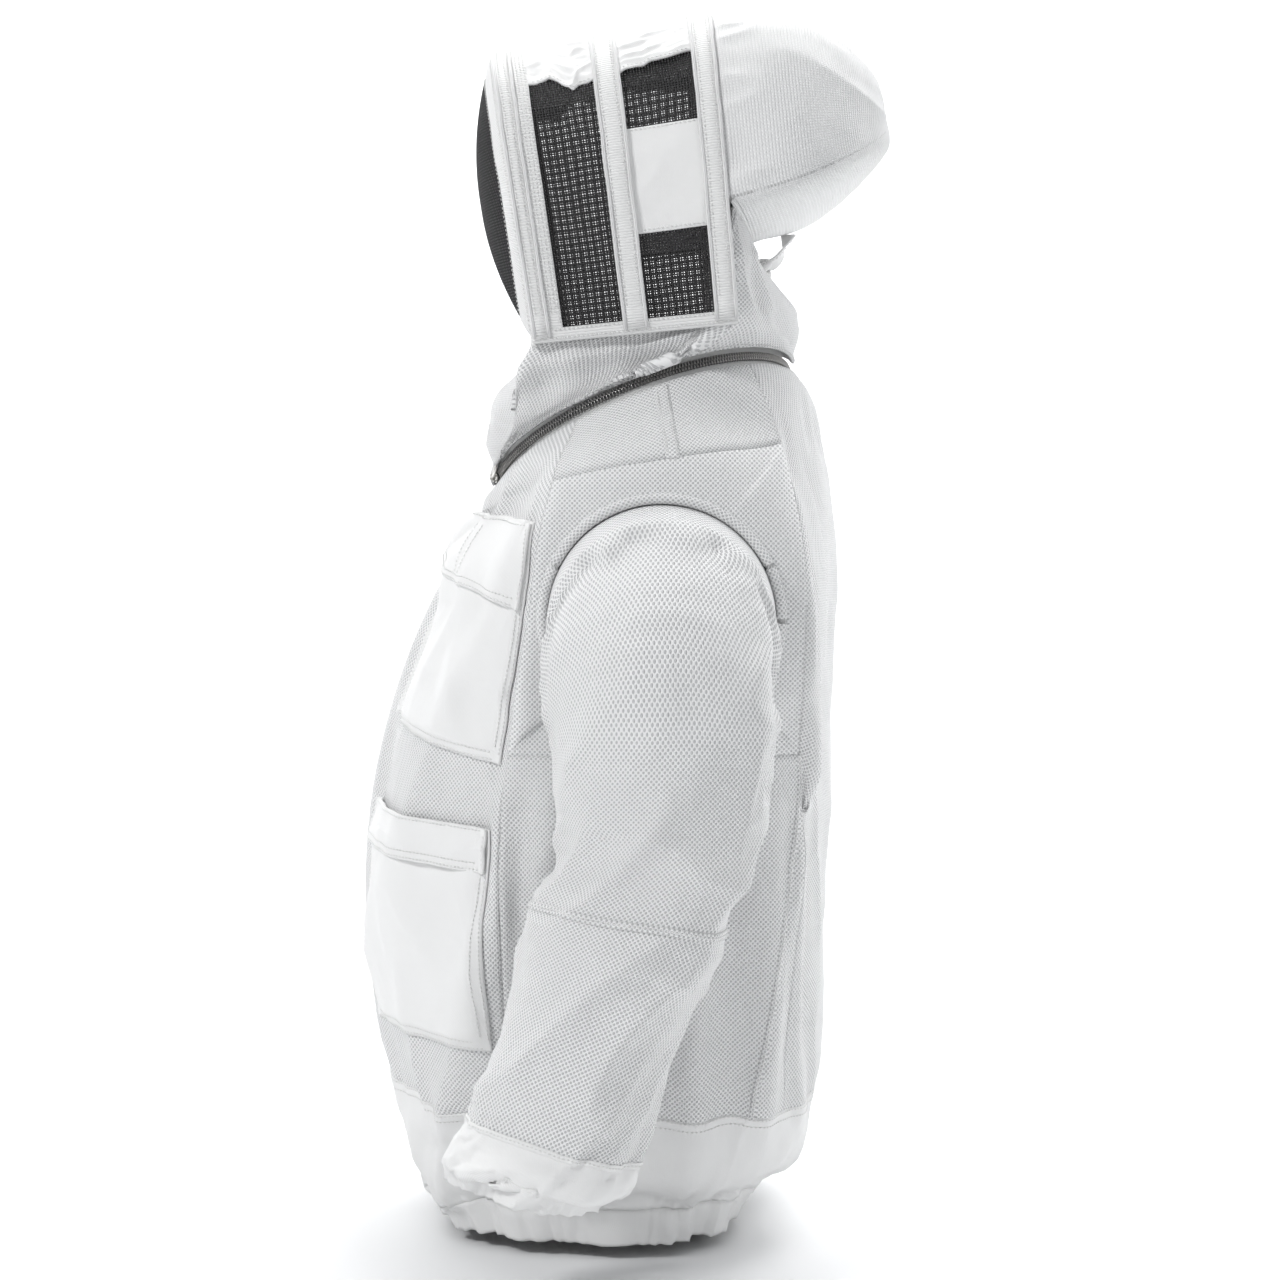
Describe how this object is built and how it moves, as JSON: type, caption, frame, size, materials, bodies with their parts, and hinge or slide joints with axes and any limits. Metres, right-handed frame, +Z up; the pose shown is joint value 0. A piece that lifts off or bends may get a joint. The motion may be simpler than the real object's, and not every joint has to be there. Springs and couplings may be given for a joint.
{
  "type": "ventilated beekeeping jacket with fencing-veil hood",
  "caption": "White ventilated mesh beekeeping jacket with elastic waist and cuffs, zip front, pockets with flaps, and a zip-on fencing-veil hood that flips back",
  "frame": {"origin": "between the wearer's shoulders at the base of the neck, the seat that holds the jacket up", "axes": "+Z up along the spine, -Y the way the wearer faces, +X the wearer's left"},
  "size_m": [0.694, 0.4176, 0.9481],
  "materials": {
    "mesh_cloth": "white three-layer ventilated mesh with a fine hexagonal knit",
    "cotton": "white polycotton twill",
    "elastic_cotton": "white polycotton gathered over elastic",
    "veil": "black woven insect mesh",
    "crown_mesh": "white fine knitted mesh",
    "ribbed_tape": "white ribbed webbing over a sprung hoop",
    "zip_tape": "white woven zip tape",
    "zip_metal": "nickel-plated zip parts"
  },
  "bodies": {
    "jacket": {"back_panel": "mesh_cloth", "front_panel_left": "mesh_cloth", "front_panel_right": "mesh_cloth", "side_panel_left": "mesh_cloth", "side_panel_right": "mesh_cloth", "armhole_panel_left": "mesh_cloth", "armhole_panel_right": "mesh_cloth", "shoulder_panel_left": "mesh_cloth", "shoulder_panel_right": "mesh_cloth", "armhole_binding_left": "cotton", "armhole_binding_right": "cotton", "waistband": "cotton", "hem_elastic": "elastic_cotton", "front_zip_tapes": "zip_tape", "front_zip_teeth": "zip_metal", "collar_zip_lower_tapes": "zip_tape", "collar_zip_lower_teeth": "zip_metal", "chest_pocket": "cotton", "pocket_left": "cotton", "pocket_right": "cotton", "hanger_loop": "cotton"},
    "hood": {"hood_skirt": "mesh_cloth", "veil_sides": "veil", "hood_top": "cotton", "hoop_front": "ribbed_tape", "hoop_middle": "ribbed_tape", "hoop_rear": "ribbed_tape", "face_frame": "ribbed_tape", "face_veil": "veil", "crown": "crown_mesh", "collar_zip_upper_tapes": "zip_tape", "collar_zip_upper_teeth": "zip_metal", "neck_tab": "cotton"},
    "upper_arm_left": {"sleeve_upper_left": "mesh_cloth", "sleeve_elbow_left": "mesh_cloth"},
    "forearm_left": {"sleeve_lower_left": "mesh_cloth", "cuff_left": "cotton", "cuff_elastic_left": "elastic_cotton"},
    "upper_arm_right": {"sleeve_upper_right": "mesh_cloth", "sleeve_elbow_right": "mesh_cloth"},
    "forearm_right": {"sleeve_lower_right": "mesh_cloth", "cuff_right": "cotton", "cuff_elastic_right": "elastic_cotton"},
    "front_slider": {"front_zip_slider": "zip_metal"},
    "front_pull": {"front_zip_pull": "zip_metal"},
    "collar_slider_left": {"collar_slider_left": "zip_metal"},
    "collar_slider_right": {"collar_slider_right": "zip_metal"},
    "collar_pull_left": {"collar_pull_left": "zip_metal"},
    "collar_pull_right": {"collar_pull_right": "zip_metal"},
    "chest_flap": {"chest_pocket_flap": "cotton"},
    "flap_left": {"pocket_flap_left": "cotton"},
    "flap_right": {"pocket_flap_right": "cotton"}
  },
  "joints": [
    {"name": "hood_flip", "type": "hinge", "parent": "jacket", "child": "hood", "pos_m": [0, 0.12361, 0.04732], "axis": [-1, 0, 0], "range_deg": [0, 90]},
    {"name": "front_zip", "type": "hinge", "parent": "jacket", "child": "front_slider", "pos_m": [0, 0.296, -0.365], "axis": [1, 0, 0], "range_deg": [0, 61]},
    {"name": "front_pull_flip", "type": "hinge", "parent": "front_slider", "child": "front_pull", "pos_m": [0, -0.13274, -0.07129], "axis": [-1, 0, 0], "range_deg": [0, 150]},
    {"name": "collar_zip_left", "type": "hinge", "parent": "jacket", "child": "collar_slider_left", "pos_m": [0, 0.004, -0.001], "axis": [-0.2756, -0.3601, 0.8913], "range_deg": [0, 118]},
    {"name": "collar_zip_right", "type": "hinge", "parent": "jacket", "child": "collar_slider_right", "pos_m": [0, 0.004, -0.001], "axis": [-0.2756, 0.3601, -0.8913], "range_deg": [0, 118]},
    {"name": "collar_pull_flip_left", "type": "hinge", "parent": "collar_slider_left", "child": "collar_pull_left", "pos_m": [0.03463, -0.11621, -0.03886], "axis": [0.2756, 0.3601, -0.8913], "range_deg": [0, 150]},
    {"name": "collar_pull_flip_right", "type": "hinge", "parent": "collar_slider_right", "child": "collar_pull_right", "pos_m": [-0.03463, -0.11621, -0.03886], "axis": [0.2756, -0.3601, 0.8913], "range_deg": [0, 150]},
    {"name": "chest_flap_lift", "type": "hinge", "parent": "jacket", "child": "chest_flap", "pos_m": [0.10952, -0.11628, -0.05795], "axis": [-0.9487, -0.3123, 0.0488], "range_deg": [0, 100]},
    {"name": "flap_lift_left", "type": "hinge", "parent": "jacket", "child": "flap_left", "pos_m": [0.1194, -0.19595, -0.29287], "axis": [-0.8094, -0.5839, 0.0624], "range_deg": [0, 130]},
    {"name": "flap_lift_right", "type": "hinge", "parent": "jacket", "child": "flap_right", "pos_m": [-0.1194, -0.19595, -0.29287], "axis": [-0.8094, 0.5839, -0.0624], "range_deg": [0, 130]},
    {"name": "shoulder_swing_left", "type": "hinge", "parent": "jacket", "child": "upper_arm_left", "pos_m": [0.1983, 0.016, -0.142], "axis": [-1, 0, 0], "range_deg": [-20, 110]},
    {"name": "elbow_bend_left", "type": "hinge", "parent": "upper_arm_left", "child": "forearm_left", "pos_m": [0.277, -0.036, -0.334], "axis": [-1, 0, 0], "range_deg": [0, 70], "deforming": ["sleeve_elbow_left"]},
    {"name": "shoulder_swing_right", "type": "hinge", "parent": "jacket", "child": "upper_arm_right", "pos_m": [-0.1983, 0.016, -0.142], "axis": [-1, 0, 0], "range_deg": [-20, 110]},
    {"name": "elbow_bend_right", "type": "hinge", "parent": "upper_arm_right", "child": "forearm_right", "pos_m": [-0.277, -0.036, -0.334], "axis": [-1, 0, 0], "range_deg": [0, 70], "deforming": ["sleeve_elbow_right"]}
  ]
}
